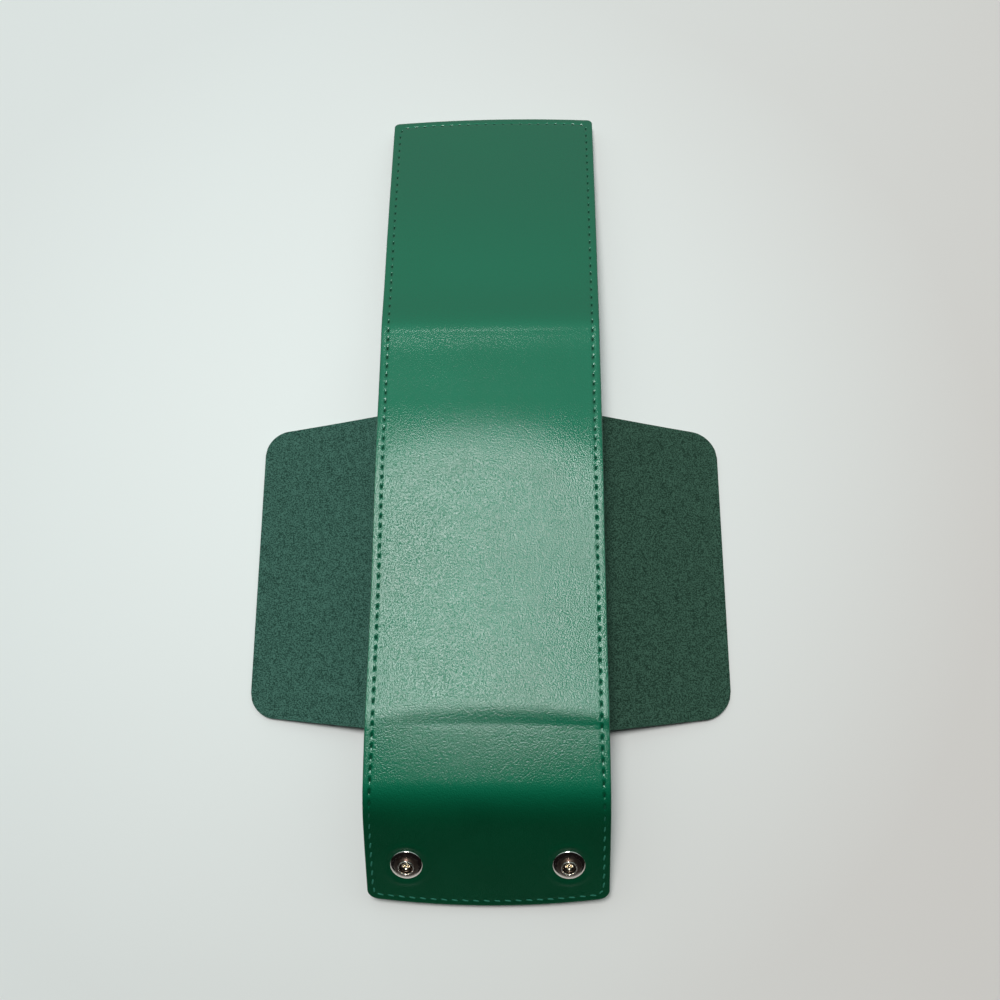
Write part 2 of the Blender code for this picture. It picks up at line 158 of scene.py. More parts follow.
def swellOver(arch, s, at):
    # A low swelling over the inner fold: it grows by a power of the way from the
    # outer fold, rounds over at its crest, then falls as a cube to the lower crease.
    # The arch is how far the crest lies back at this x.
    crest = at["B"] + relief["crestAfter"] + arch
    turnFrom, turnLong = relief["swellTurns"]
    power = relief["swellPower"]
    q = (s - at["A"]) / (crest - at["A"])
    u = np.clip((q - turnFrom) / turnLong, 0, 1)
    over = turnFrom**power + turnLong * power * turnFrom ** (power - 1) * (u - u**2 / 2)
    swell = np.where(q < turnFrom, np.clip(q, 0, None) ** power, over)
    past = (s - crest) / (at["C"] - crest)
    eased = (past + np.sqrt(past**2 + relief["crestEase"] ** 2)) / 2
    fall = (1 - np.clip(eased, 0, 1)) ** 3
    return relief["swellHeight"] * swell * fall


def dipOver(x, s, at):
    # The strip dips along the lower crease. Coming from the lid it turns down within
    # a few millimetres, as the integral of an eased step, and past the crease it rises
    # slowly. The mean over seven short shifts rounds the bottom.
    share = x / half
    turn = relief["dipTurn"] * (1 + relief["dipLean"] * share)
    reach = relief["dipReach"] - relief["dipNarrows"] * share**2
    creaseAt = at["C"] - relief["dipBow"] * (1 - share**2)
    shifts = np.linspace(-1, 1, 7) * relief["dipRounds"]
    dip = 0
    for shift in shifts:
        ahead = creaseAt - s - shift
        u = np.clip((reach - np.clip(ahead, 0, None)) / relief["dipSoft"], 0, None)
        down = turn * relief["dipSoft"] * np.where(u < 1, u**3 - u**4 / 2, u - 0.5)
        dip = dip + down * np.exp(-np.clip(-ahead, 0, None) / relief["dipAfter"]) / len(shifts)
    return dip * (1 - smooth((s - at["D"]) / strip["flapLength"]))


def layStrip():
    # The slope along the strip is a step at each crease, eased over the bend, and
    # the running sum of its cosine and sine gives y and z. Crowns and sags are
    # added square to that line.
    flapFoot = hinge["D"][1]
    spans = {
        "A": strip["lidLength"],
        "B": np.linalg.norm(hinge["B"] - hinge["A"]),
        "C": np.linalg.norm(hinge["C"] - hinge["B"]),
        "D": np.linalg.norm(hinge["D"] - hinge["C"]),
    }
    at = dict(zip("ABCD", np.cumsum(list(spans.values()))))
    total = at["D"] + strip["flapLength"]

    def slope(a, b):
        return math.atan2(b[1] - a[1], a[0] - b[0])

    slopes = [
        math.radians(strip["lidSlopeDeg"]),
        slope(hinge["A"], hinge["B"]),
        slope(hinge["B"], hinge["C"]),
        slope(hinge["C"], hinge["D"]),
        -math.asin(flapFoot / strip["flapLength"]),
    ]
    s = np.linspace(-strip["lineRunsPast"], total + strip["lineRunsPast"], strip["linePoints"])
    ds = s[1] - s[0]
    for _ in range(4):
        angle = np.full_like(s, slopes[0])
        for k, key in enumerate("ABCD"):
            before, past = strip["bends"][key]
            angle += (slopes[k + 1] - slopes[k]) * smooth((s - at[key] + before) / (before + past))
        y = -np.concatenate([[0], np.cumsum(np.cos((angle[1:] + angle[:-1]) / 2)) * ds])
        z = np.concatenate([[0], np.cumsum(np.sin((angle[1:] + angle[:-1]) / 2)) * ds])
        # the flap's slope is set so that its end comes down to the table
        bendBefore = strip["bends"]["D"][0]
        fall = np.interp(at["D"] - bendBefore, s, z) - np.interp(total, s, z)
        wanted = flapFoot + bendBefore * math.sin(-slopes[3])
        slopes[4] -= (wanted - fall) / strip["flapLength"]
    middle = (at["B"] + at["C"]) / 2  # the back panel's middle fixes the whole line
    target = (hinge["B"] + hinge["C"]) / 2
    y += target[0] - np.interp(middle, s, y)
    z += target[1] - np.interp(middle, s, z)

    lidShare = np.clip(s / at["A"], 0, 1)
    backShare = np.clip((s - at["B"]) / (at["C"] - at["B"]), 0, 1)
    flapShare = np.clip((s - at["D"]) / (total - at["D"]), 0, 1)
    lift = strip["lidCrown"] * np.sin(math.pi * lidShare) ** 2
    lift -= strip["lidEndDroop"] * np.clip(1 - s / strip["lidDroopFrom"], 0, None) ** 2
    # the back sags gently from its upper crease and more fully towards the lower one
    sag = np.where(backShare < 0.5, smooth(2 * backShare), 1 - np.abs(2 * backShare - 1) ** 2.5)
    lift -= strip["backSag"] * sag
    lift += strip["flapCrown"] * np.sin(math.pi * flapShare) ** 2
    lift += swellOver(0, s, at) - dipOver(0, s, at)
    y += lift * np.sin(angle)
    z += lift * np.cos(angle)
    run = np.hypot(np.gradient(y), np.gradient(z))
    return {
        "s": s,
        "y": y,
        "z": z,
        "ny": np.gradient(z) / run,
        "nz": -np.gradient(y) / run,
        "at": at,
        "total": total,
    }


path = layStrip()
at, total = path["at"], path["total"]


def stripPoint(x, s, depth):
    # the line's point at s, moved square to the line by the depth and sideways by x
    y = np.interp(s, path["s"], path["y"]) + depth * np.interp(s, path["s"], path["ny"])
    z = np.interp(s, path["s"], path["z"]) + depth * np.interp(s, path["s"], path["nz"])
    x = x + strip["drift"] * (1 - s / total)
    return np.stack([x, y, z], axis=-1)


def stripNormal(s):
    return np.array([0, np.interp(s, path["s"], path["ny"]), np.interp(s, path["s"], path["nz"])])


def makePiece(name, points, faces, material, sharpDeg=35):
    mesh = bpy.data.meshes.new(name)
    mesh.from_pydata(points.reshape(-1, 3), [], faces)
    mesh.update()
    mesh.validate()
    mesh.shade_smooth()
    mesh.set_sharp_from_angle(angle=math.radians(sharpDeg))
    mesh.materials.append(material)
    thing = bpy.data.objects.new(name, mesh)
    bpy.context.scene.collection.objects.link(thing)
    return thing


def weld(thing, within=1e-7):
    shape = bmesh.new()
    shape.from_mesh(thing.data)
    bmesh.ops.remove_doubles(shape, verts=shape.verts, dist=within)
    bmesh.ops.recalc_face_normals(shape, faces=shape.faces)
    shape.to_mesh(thing.data)
    shape.free()


def markPoints(thing, name, values):
    thing.data.attributes.new(name, "FLOAT", "POINT").data.foreach_set("value", values)


def gridFaces(index):
    corners = [index[:-1, :-1], index[:-1, 1:], index[1:, 1:], index[1:, :-1]]
    return np.stack(corners, axis=-1).reshape(-1, 4)


def roundGrid(grid):
    # once round a grid's border: first row, last column, last row back, first column back
    return np.concatenate([grid[0, :-1], grid[:-1, -1], grid[-1, :0:-1], grid[:0:-1, 0]])


def closedShell(name, top, rims, bottom, material, flip=False):
    # Two grids of the same count, joined round their borders through the rim loops.
    # The edge attribute runs from 0 on the top over the rims to 1 on the bottom.
    count = top.shape[0] * top.shape[1]
    loop = len(rims[0])
    topIndex = np.arange(count).reshape(top.shape[:2])
    rimIndex = [count + k * loop + np.arange(loop) for k in range(len(rims))]
    bottomIndex = topIndex + count + len(rims) * loop
    rings = [roundGrid(topIndex), *rimIndex, roundGrid(bottomIndex)]
    faces = [gridFaces(topIndex), gridFaces(bottomIndex)[:, ::-1]]
    for upper, lower in zip(rings[:-1], rings[1:]):
        faces.append(np.stack([upper, lower, np.roll(lower, -1), np.roll(upper, -1)], axis=-1))
    faces = np.concatenate(faces)
    if flip:
        faces = faces[:, ::-1]
    points = np.concatenate([top.reshape(-1, 3), *rims, bottom.reshape(-1, 3)])
    thing = makePiece(name, points, faces, material)
    rimShares = np.linspace(0, 1, len(rims) + 1)[1:]
    edge = np.concatenate([np.zeros(count), np.repeat(rimShares, loop), np.ones(count)])
    markPoints(thing, "edge", edge)
    return thing


def outlineGrid(part, inset):
    # x and s over one piece: a rectangle whose end corners are squeezed onto
    # quarter circles, with its end bowed outwards
    start = part["start"] + (inset if part["roundStart"] else 0)
    stop = part["stop"] - (inset if part["roundStop"] else 0)
    x, s = np.meshgrid(part["columns"] * (half - inset), start + (stop - start) * part["rows"])
    ends = []
    if part["roundStart"]:
        ends.append((0, 1, strip["lidBow"], strip["lidCorner"]))
    if part["roundStop"]:
        ends.append((total, -1, strip["flapBow"], strip["flapCorner"]))
    for end, sign, bow, radius in ends:
        reach = radius - inset
        t = sign * (s - end)
        a = np.clip((np.abs(x) - (half - radius)) / reach, 0, 1)
        b = np.clip((radius - t) / reach, 0, 1)
        x = np.where(a > 0, np.sign(x) * (half - radius + reach * a * np.sqrt(1 - b**2 / 2)), x)
        t = np.where(b > 0, radius - reach * b * np.sqrt(1 - a**2 / 2), t)
        t = t + bow * (x / half) ** 2 * np.exp(-t / strip["bowFades"])
        s = end + sign * t
    return x, s


def fromEdge(x, s):
    # how far a point lies inside the strip's outline
    lidEnd = s - strip["lidBow"] * (x / half) ** 2
    flapEnd = total - s - strip["flapBow"] * (x / half) ** 2
    return np.minimum(half - np.abs(x), np.minimum(lidEnd, flapEnd))


seam = {
    "inset": 0.00245,
    "flapInset": 0.0019,
    "insetEases": 0.030,
    "sideFrom": 0.0042,  # from the lid's end to the first stitch of a side
    "sideTo": 0.0046,  # and from the last one to the flap's end
    "cornerGap": 0.0014,
    "pitch": 0.0033,
    "threadWidth": 0.00058,
    "threadHeight": 0.00040,
    "coverShare": 0.51,  # how much of the way between two holes a stitch covers
    "flapCoverShare": 0.74,
    "proudShare": 0.85,
    "proudEases": 0.014,
    "slantDeg": 11.0,
    "sunk": 0.00026,
    "dive": 0.00030,
    "sides": 8,
    "rings": 9,
    "grooveDepth": 0.00003,
    "grooveReach": 0.00060,
    "dentDepth": 0.00024,  # the oval hollow that each stitch pulls into the leather
    "dentLong": 0.00072,
    "dentWide": 0.00034,
    "dentWithin": 0.0014,  # of the seam's line
    "marginRoll": 0.00005,
    "rollOut": 0.0012,
    "rollReach": 0.0008,
}


def seamInset(s):
    narrowed = smooth((s - at["C"]) / seam["insetEases"])
    return seam["inset"] + (seam["flapInset"] - seam["inset"]) * narrowed


def onFlap(s):
    return smooth((s - at["D"]) / seam["proudEases"])


def hollow(s):
    # the stitches lie deep along the strip's sides and nearly proud on the flap
    return 1 - seam["proudShare"] * onFlap(s)


def seamLoop():
    # once round the strip at the seam's inset, as evenly spaced points
    side = np.linspace(seam["sideFrom"], total - seam["sideTo"], 1200)
    sideX = half - seamInset(side)

    def end(sign, s0, inset, bow):
        reach = half - inset - seam["cornerGap"]
        acrossX = np.linspace(reach, -reach, 400)
        acrossS = s0 + sign * (inset + bow * (acrossX / half) ** 2)
        return acrossX, acrossS

    lidX, lidS = end(1, 0, seam["inset"], strip["lidBow"])
    flapX, flapS = end(-1, total, seam["flapInset"], strip["flapBow"])
    x = np.concatenate([sideX, flapX, -sideX[::-1], -lidX])
    s = np.concatenate([side, flapS, side[::-1], lidS])
    x, s = np.append(x, x[0]), np.append(s, s[0])
    run = np.concatenate([[0], np.cumsum(np.hypot(np.diff(x), np.diff(s)))])
    count = round(run[-1] / seam["pitch"])
    even = np.linspace(0, run[-1], count + 1)
    return np.interp(even, run, x), np.interp(even, run, s)


holeX, holeS = seamLoop()
print("seam has", len(holeX) - 1, "stitches")


stud = {
    "across": 0.0249,
    "fromEnd": 0.0152,
    "dent": 0.00025,  # pressed into the leather round the flange
    "dentReach": 0.0056,
    "bulge": 0.00016,
    "bulgeAt": 0.0066,
    "bulgeReach": 0.0009,
    "sunk": 0.00002,
}
studS = total - stud["fromEnd"]


def panelTop(x, s):
    # the strip's thickness with the ridge, and what the swelling and the dip add
    # away from the middle
    ridgeAt = at["A"] - relief["ridgeBack"]
    reach = np.where(s < ridgeAt, *relief["ridgeReach"])
    top = strip["thickness"] + relief["ridgeHeight"] * hump(s, ridgeAt, reach)
    arch = relief["crestArch"] * np.abs(x / half) ** 3
    top = top + swellOver(arch, s, at) - swellOver(0, s, at)
    return top - dipOver(x, s, at) + dipOver(0, s, at)


def leatherTop(x, s):
    # the panels' relief with everything that stands out of it or is pressed in
    top = panelTop(x, s)
    inside = fromEdge(x, s)
    inset = seamInset(s)
    top -= seam["grooveDepth"] * hump(inside, inset, seam["grooveReach"])
    top += seam["marginRoll"] * hump(inside, inset - seam["rollOut"], seam["rollReach"])

    near = np.abs(inside - inset) < seam["dentWithin"]
    stretchX, stretchS = holeX[1:] - holeX[:-1], holeS[1:] - holeS[:-1]
    length = np.hypot(stretchX, stretchS)
    px = x[near][:, None] - (holeX[1:] + holeX[:-1]) / 2
    ps = s[near][:, None] - (holeS[1:] + holeS[:-1]) / 2
    along = (px * stretchX + ps * stretchS) / length
    across = (px * stretchS - ps * stretchX) / length
    reach = ((along / seam["dentLong"]) ** 4 + (across / seam["dentWide"]) ** 4).min(axis=1)
    top[near] -= seam["dentDepth"] * hollow(s[near]) * np.exp(-reach)

    for side in (-1, 1):
        gap = np.hypot(x - side * stud["across"], s - studS)
        top -= stud["dent"] * np.exp(-((gap / stud["dentReach"]) ** 6))
        top += stud["bulge"] * hump(gap, stud["bulgeAt"], stud["bulgeReach"])
    return top


class Nodes:
    # a material's node tree, with short calls for adding and joining nodes
    def __init__(self, name):
        self.material = bpy.data.materials.new(name)
        self.material.use_nodes = True
        self.tree = self.material.node_tree
        self.shader = self.tree.nodes["Principled BSDF"]
        self.place = self.add("ShaderNodeTexCoord").outputs["Object"]

    def add(self, kind, settings=None, **sockets):
        made = self.tree.nodes.new(kind)
        for key, value in (settings or {}).items():
            setattr(made, key, value)
        for key, value in sockets.items():
            self.set(made.inputs[key.replace("_", " ")], value)
        return made

    def set(self, socket, value):
        if isinstance(value, bpy.types.NodeSocket):
            self.tree.links.new(value, socket)
        else:
            socket.default_value = value

    def noise(self, scale, detail, rough, place=None):
        made = self.add("ShaderNodeTexNoise", Scale=scale, Detail=detail, Roughness=rough)
        self.set(made.inputs["Vector"], place or self.place)
        return made.outputs["Fac"]

    def cells(self, scale, place):
        return self.add("ShaderNodeTexVoronoi", Vector=place, Scale=scale).outputs["Distance"]

    def math(self, how, a, b=0.0):
        made = self.add("ShaderNodeMath", {"operation": how})
        self.set(made.inputs[0], a)
        self.set(made.inputs[1], b)
        return made.outputs[0]

    def span(self, value, low, high, fromLow=0.0, fromHigh=1.0):
        made = self.add("ShaderNodeMapRange")
        for key, number in (
            ("Value", value),
            ("From Min", fromLow),
            ("From Max", fromHigh),
            ("To Min", low),
            ("To Max", high),
        ):
            self.set(made.inputs[key], number)
        return made.outputs[0]

    def mix(self, share, a, b):
        made = self.add("ShaderNodeMix", {"data_type": "RGBA"})
        self.set(made.inputs["Factor"], share)
        self.set(made.inputs[6], a)
        self.set(made.inputs[7], b)
        return made.outputs[2]

    def bump(self, height, strength, distance):
        made = self.add("ShaderNodeBump", Height=height, Strength=strength, Distance=distance)
        return made.outputs[0]

    def attribute(self, name):
        return self.add("ShaderNodeAttribute", {"attribute_name": name}).outputs["Fac"]

    def finish(self, **sockets):
        for key, value in sockets.items():
            self.set(self.shader.inputs[key.replace("_", " ")], value)
        return self.material


def colour(r, g, b):
    return (r, g, b, 1.0)


leatherLook = {
    "green": colour(0.0003, 0.033, 0.0080),
    "greenDeep": colour(0.0002, 0.027, 0.0060),
    "gloss": colour(0.022, 1.0, 0.56),
    "edge": colour(0.030, 0.050, 0.038),
    "roughness": (0.55, 0.60),
    "pebblesPerMetre": 2400,
    "finePerMetre": 2200,
    "wandersPerMetre": 1200,
    "warp": 0.00015,
    "grainTurn": 0.8,
    "grainStretch": (1.05, 0.95, 1.0),
    "fineShare": 0.5,
    "pebblePower": 1.5,
    "pebbleDepth": 4.0,
    # y where the grain is flat, y where it is full, and its share where it is flat
    "grainFades": ((0.021, 0.009, 0.42), (-0.100, -0.078, 0.55)),
    "grainStrength": 1.0,
    "grainHeight": 0.0000135,
    "cloudsPerMetre": 38,
    "coat": 0.76,
    "coatRoughness": 0.15,
}


def makeLeather():
    look = leatherLook
    n = Nodes("grainedLeather")
    laid = n.add(
        "ShaderNodeMapping",
        {"vector_type": "TEXTURE"},
        Vector=n.place,
        Rotation=(0, 0, look["grainTurn"]),
        Scale=look["grainStretch"],
    ).outputs[0]
    wander = n.add("ShaderNodeTexNoise", Vector=laid, Scale=look["wandersPerMetre"], Detail=1.0)
    bent = n.add("ShaderNodeVectorMath", {"operation": "MULTIPLY_ADD"})
    n.set(bent.inputs[0], wander.outputs["Color"])
    bent.inputs[1].default_value = (look["warp"],) * 3
    n.set(bent.inputs[2], laid)
    # round pebbles, pressed flatter over the outer panels
    cells = n.cells(look["pebblesPerMetre"], bent.outputs[0])
    pebbles = n.math("POWER", cells, look["pebblePower"])
    fine = n.math("MULTIPLY", n.noise(look["finePerMetre"], 0, 0.5, laid), look["fineShare"])
    height = n.math("SUBTRACT", fine, n.math("MULTIPLY", pebbles, look["pebbleDepth"]))
    y = n.add("ShaderNodeSeparateXYZ", Vector=n.place).outputs["Y"]
    for flatY, fullY, share in look["grainFades"]:
        height = n.math("MULTIPLY", height, n.span(y, share, 1, flatY, fullY))
    clouds = n.noise(look["cloudsPerMetre"], 3, 0.55)
    tone = n.mix(n.span(clouds, 0, 1, 0.35, 0.65), look["greenDeep"], look["green"])
    tone = n.mix(n.span(pebbles, 0, 0.6, 0.45, 0.75), tone, look["greenDeep"])
    tone = n.mix(n.span(n.attribute("edge"), 0, 1, 0.05, 0.40), tone, look["edge"])
    rough = n.span(clouds, *look["roughness"], 0.3, 0.7)
    grain = n.bump(height, look["grainStrength"], look["grainHeight"])
    return n.finish(
        Base_Color=tone,
        Roughness=rough,
        IOR=1.56,
        Specular_IOR_Level=1.0,
        Specular_Tint=look["gloss"],
        Coat_Weight=look["coat"],
        Coat_Roughness=look["coatRoughness"],
        Normal=grain,
        Coat_Normal=grain,
    )


suedeLook = {
    "green": colour(0.062, 0.161, 0.123),
    "dark": colour(0.012, 0.046, 0.033),
    "fibresPerMetre": 2300,
}

# the right sheet takes a darker copy of the same suede: painted shade for the side that lies away
# from the light
paintedShadeSuede = {"green": colour(0.046, 0.110, 0.075), "dark": colour(0.008, 0.030, 0.018)}


def makeSuede(name, look):
    n = Nodes(name)
    fibres = n.noise(look["fibresPerMetre"], 2, 0.6)
    patches = n.noise(look["fibresPerMetre"] / 5, 3, 0.6)
    share = n.math("ADD", n.math("MULTIPLY", fibres, 0.85), n.math("MULTIPLY", patches, 0.15))
    tone = n.mix(n.span(share, 0, 1, 0.42, 0.58), look["dark"], look["green"])
    return n.finish(
        Base_Color=tone,
        Roughness=0.95,
        Specular_IOR_Level=0.15,
        Sheen_Weight=0.25,
        Sheen_Roughness=0.5,
        Normal=n.bump(share, 0.6, 0.00012),
    )


threadLook = {
    "green": colour(0.003, 0.052, 0.026),
    "greenDeep": colour(0.001, 0.024, 0.012),
    "paintedHighlight": colour(0.034, 0.200, 0.135),  # painted highlight where the thread stands proud on the flap
    "tint": colour(0.25, 1.0, 0.6),
    "pliesPerMetre": 5200,
}


def makeThread():
    look = threadLook
    n = Nodes("greenThread")
    plies = n.noise(look["pliesPerMetre"], 2, 0.5)
    tone = n.mix(n.span(plies, 0, 1, 0.35, 0.65), look["greenDeep"], look["green"])
    # painted highlight: the thread is painted lighter where it stands proud on the flap
    tone = n.mix(n.attribute("proud"), tone, look["paintedHighlight"])
    return n.finish(
        Base_Color=tone,
        Roughness=0.75,
        Specular_IOR_Level=0.2,
        Specular_Tint=look["tint"],
        Normal=n.bump(plies, 0.4, 0.00005),
    )


metalLook = {
    "scuffsPerMetre": 900,
    "scuffTone": 0.86,
    # painted dark brown reflection and shade in the hollow round a knob
    "recessShade": colour(0.27, 0.190, 0.155),
    "recessShadeShare": 0.9,
    "recessRough": 0.22,
}


def makeMetal(name, tint, roughness):
    # the recess attribute marks the hollow round a knob, where the colour is painted dark brown as
    # painted reflection and shade and the plating is rougher
    look = metalLook
    n = Nodes(name)
    scuffs = n.noise(look["scuffsPerMetre"], 3, 0.6)
    rough = n.span(scuffs, roughness * 0.8, roughness * 1.5, 0.35, 0.75)
    scuffed = colour(*(look["scuffTone"] * c for c in tint[:3]))
    tone = n.mix(n.span(scuffs, 0, 0.35, 0.4, 0.8), tint, scuffed)
    # painted reflection and shade: the hollow round a knob is painted dark brown
    recess = n.attribute("recess")
    tone = n.mix(n.math("MULTIPLY", recess, look["recessShadeShare"]), tone, look["recessShade"])
    rough = n.math("ADD", rough, n.math("MULTIPLY", recess, look["recessRough"]))
    dents = n.bump(scuffs, 0.05, 0.00002)
    return n.finish(Base_Color=tone, Metallic=1.0, Roughness=rough, Normal=dents)


boardLook = {
    "pale": colour(0.42, 0.40, 0.36),
    "dark": colour(0.26, 0.25, 0.22),
    "fibresPerMetre": 700,
}


def makeBoard():
    n = Nodes("pressedBoard")
    fibres = n.noise(boardLook["fibresPerMetre"], 4, 0.7)
    tone = n.mix(fibres, boardLook["dark"], boardLook["pale"])
    return n.finish(Base_Color=tone, Roughness=0.9, Normal=n.bump(fibres, 0.3, 0.0001))


leatherMaterial = makeLeather()
suedeMaterial = {
    "left": makeSuede("darkGreenSuede", suedeLook),
    # the right sheet's darker copy is painted shade
    "right": makeSuede("darkGreenSuedePaintedShade", dict(suedeLook, **paintedShadeSuede)),
}
liningMaterial = makeSuede("darkGreenLining", dict(suedeLook, fibresPerMetre=2600))
threadMaterial = makeThread()
nickelMaterial = makeMetal("polishedNickel", colour(0.80, 0.76, 0.71), 0.10)
brassMaterial = makeMetal("platedBrass", colour(0.72, 0.64, 0.50), 0.16)
springMaterial = makeMetal("springSteel", colour(0.50, 0.50, 0.50), 0.30)
boardMaterial = makeBoard()
print("materials made")


# the skin, the lining and the stitches are cut halfway between two creases
cuts = [
    0,
    (at["A"] + at["B"]) / 2,
    (at["B"] + at["C"]) / 2,
    (at["C"] + at["D"]) / 2,
    total,
]


def blendOver(thing):
    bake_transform(thing)


def spaced(low, high, step):
    return np.linspace(low, high, max(2, round((high - low) / step) + 1))


def partOf(k, step, fine, fineReach):
    # one piece's share of the strip: its ends, and where its rows and columns lie
    start, stop = cuts[k], cuts[k + 1]
    seamFrom = half - fineReach
    side = spaced(seamFrom, half, fine)[1:]
    columns = np.concatenate([-side[::-1], spaced(-seamFrom, seamFrom, step * 2), side]) / half
    rows = [start]
    if k == 0:
        rows = list(spaced(start, start + fineReach, fine))
    rest = spaced(rows[-1], stop - (fineReach if k == 3 else 0), step)
    rows = np.concatenate([rows, rest[1:]])
    if k == 3:
        rows = np.concatenate([rows, spaced(stop - fineReach, stop, fine)[1:]])
    return {
        "start": start,
        "stop": stop,
        "roundStart": k == 0,
        "roundStop": k == 3,
        "rows": (rows - start) / (stop - start),
        "columns": columns,
    }


leather = {
    "names": (
        "lid_leather_skin",
        "top_spine_leather_skin",
        "back_leather_skin",
        "front_flap_leather_skin",
    ),
    "replaces": (
        ("lid_leather",),
        ("top_spine_leather",),
        ("back_leather",),
        ("bottom_spine_leather", "front_flap_leather"),
    ),
    "underside": 0.00098,
    "tuck": 0.00015,
    "edgeRound": 0.00032,
    "step": 0.00042,
    "fine": 0.00021,
    "fineReach": 0.0042,
}


def addLeather():
    roundAngles = np.linspace(0, math.pi / 2, 5)
    for k, (name, key) in enumerate(zip(leather["names"], "ABCD")):
        part = partOf(k, leather["step"], leather["fine"], leather["fineReach"])
        size = leather["edgeRound"]
        x, s = outlineGrid(part, size)
        top = stripPoint(x, s, leatherTop(x, s))
        rims = []
        for angle in roundAngles[1:]:
            rx, rs = (roundGrid(g) for g in outlineGrid(part, size * (1 - math.sin(angle))))
            rims.append(stripPoint(rx, rs, leatherTop(rx, rs) - size * (1 - math.cos(angle))))
        rx, rs = (roundGrid(g) for g in outlineGrid(part, 0))
        rims.append(stripPoint(rx, rs, leather["underside"] + leather["tuck"]))
        bx, bs = outlineGrid(part, leather["tuck"])
        bottom = stripPoint(bx, bs, leather["underside"])
        thing = closedShell(name, top, rims, bottom, leatherMaterial, flip=True)
        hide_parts(*leather["replaces"][k])
        blendOver(thing)
        print(name, len(thing.data.polygons), "faces")


lining = {
    "names": (
        "lid_lining_sheet",
        "top_spine_lining_sheet",
        "back_lining_sheet",
        "front_flap_lining_sheet",
    ),
    "replaces": (
        ("lid_lining",),
        ("top_spine_lining",),
        ("back_lining",),
        ("bottom_spine_lining", "front_flap_lining"),
    ),
    "top": 0.00095,
    "inset": 0.00012,
    "tuck": 0.0001,
    "rimHeight": 0.00012,
    "step": 0.0010,
    "fineReach": 0.0040,
}


def addLining():
    for k, (name, key) in enumerate(zip(lining["names"], "ABCD")):
        part = partOf(k, lining["step"], lining["step"] / 2, lining["fineReach"])
        x, s = outlineGrid(part, lining["inset"])
        rx, rs = roundGrid(x), roundGrid(s)
        bx, bs = outlineGrid(part, lining["inset"] + lining["tuck"])
        top = stripPoint(x, s, lining["top"])
        rims = [stripPoint(rx, rs, lining["rimHeight"])]
        bottom = stripPoint(bx, bs, 0.0)
        thing = closedShell(name, top, rims, bottom, liningMaterial, flip=True)
        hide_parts(*lining["replaces"][k])
        blendOver(thing)
    print("lining made")


board = {
    "spans": {
        "lid": (0.0, at["A"]),
        "top_spine": (at["A"], at["B"]),
        "back": (at["B"], at["C"]),
        "bottom_spine": (at["C"], at["D"]),
        "front_flap": (at["D"], total),
    },
    "margin": 0.0052,
    "creaseMargin": 0.0031,
    "bottom": 0.00103,
    "top": 0.00155,
    "columns": 9,
    "step": 0.0015,
}


def addBoards():
    # thin boards that follow the strip's own bend, one inside each panel
    margin, creaseMargin = board["margin"], board["creaseMargin"]
    for body, (start, stop) in board["spans"].items():
        start += margin + strip["lidBow"] if body == "lid" else creaseMargin
        stop -= margin + strip["flapBow"] if body == "front_flap" else creaseMargin
        across = half - margin
        columns = np.linspace(-across, across, board["columns"])
        x, s = np.meshgrid(columns, spaced(start, stop, board["step"]))
        top, bottom = (stripPoint(x, s, board[key]) for key in ("top", "bottom"))
        rims = [roundGrid((top + bottom) / 2)]
        thing = closedShell(body + "_stiffener", top, rims, bottom, boardMaterial, flip=True)
        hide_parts(body + "_board")
        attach(thing, body)
    print("boards made")


stitches = {
    "names": ("lid_stitches", "top_spine_stitches", "back_stitches", "front_flap_stitches"),
    "replaces": (
        ("lid_seam",),
        ("left_top_spine_seam", "right_top_spine_seam"),
        ("left_back_seam", "right_back_seam"),
        ("left_bottom_spine_seam", "right_bottom_spine_seam", "front_flap_seam"),
    ),
}


